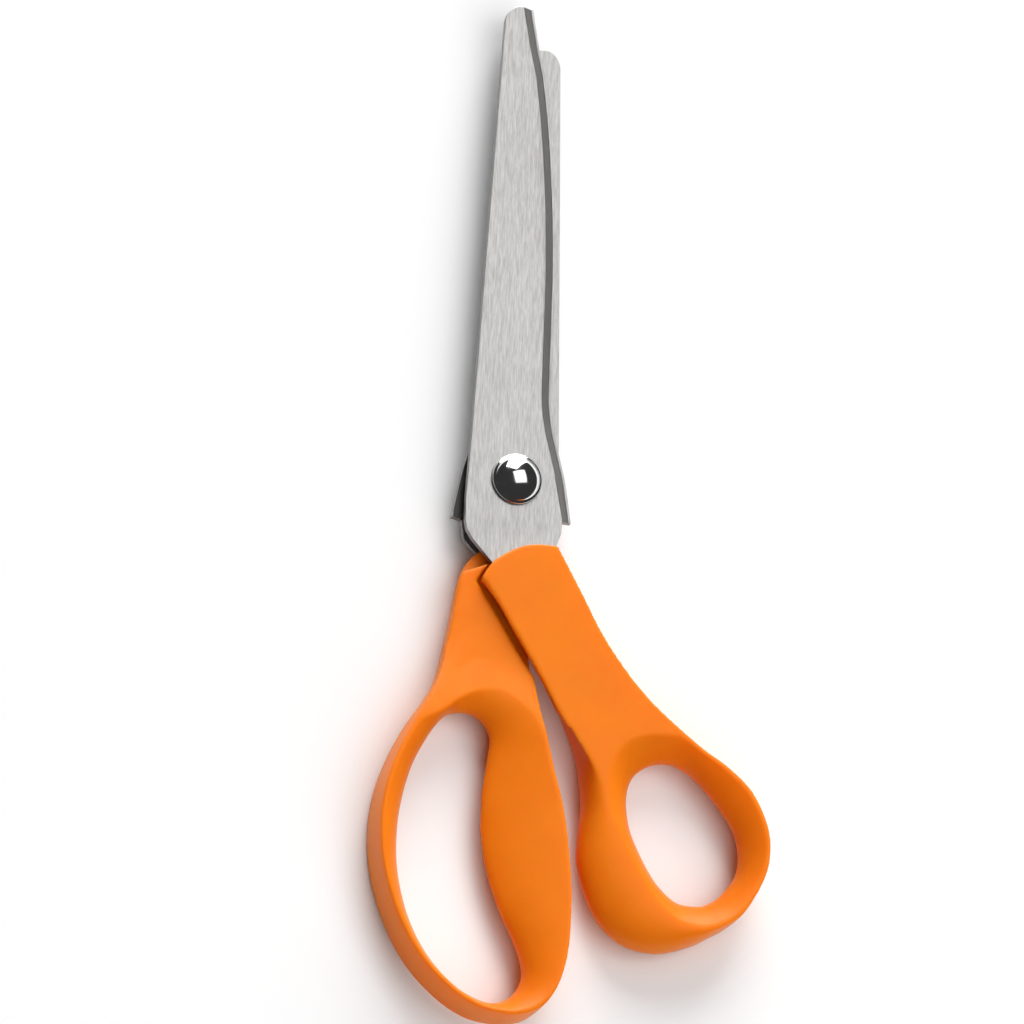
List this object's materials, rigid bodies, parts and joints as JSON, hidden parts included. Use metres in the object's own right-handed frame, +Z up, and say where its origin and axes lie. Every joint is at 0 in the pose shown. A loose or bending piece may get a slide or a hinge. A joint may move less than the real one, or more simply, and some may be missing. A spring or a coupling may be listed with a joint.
{
  "type": "pinking shears",
  "caption": "Closed right-handed pinking shears: two zigzag-edged steel blades on a domed pivot, with a moulded thumb loop and a longer finger loop.",
  "frame": {"origin": "on the pivot axis, at the flat end of the pivot nut, in the plane that the shears lie on", "axes": "+Z up out of the resting surface, towards the domed head of the pivot; +Y along the blades to the tips; +X towards the thumb loop"},
  "size_m": [0.0922, 0.2372, 0.0122],
  "materials": {
    "blade_steel": "satin stainless steel with fine grain along the blade",
    "handle_plastic": "orange moulded plastic with a fine satin texture",
    "pivot_chrome": "polished, with fine handling scratches",
    "washer_steel": "plain turned steel",
    "bushing_nylon": "natural nylon"
  },
  "bodies": {
    "rear_half": {"rear_blade": "blade_steel", "finger_handle": "handle_plastic", "pivot_bolt": "pivot_chrome", "pivot_spacer": "washer_steel", "spring_washer": "washer_steel", "pivot_nut": "pivot_chrome"},
    "front_half": {"front_blade": "blade_steel", "thumb_handle": "handle_plastic", "pivot_bushing": "bushing_nylon"}
  },
  "joints": [
    {"name": "open", "type": "hinge", "parent": "rear_half", "child": "front_half", "pos_m": [0, 0, 0.006], "axis": [0, 0, 1], "range_deg": [0, 55]}
  ]
}
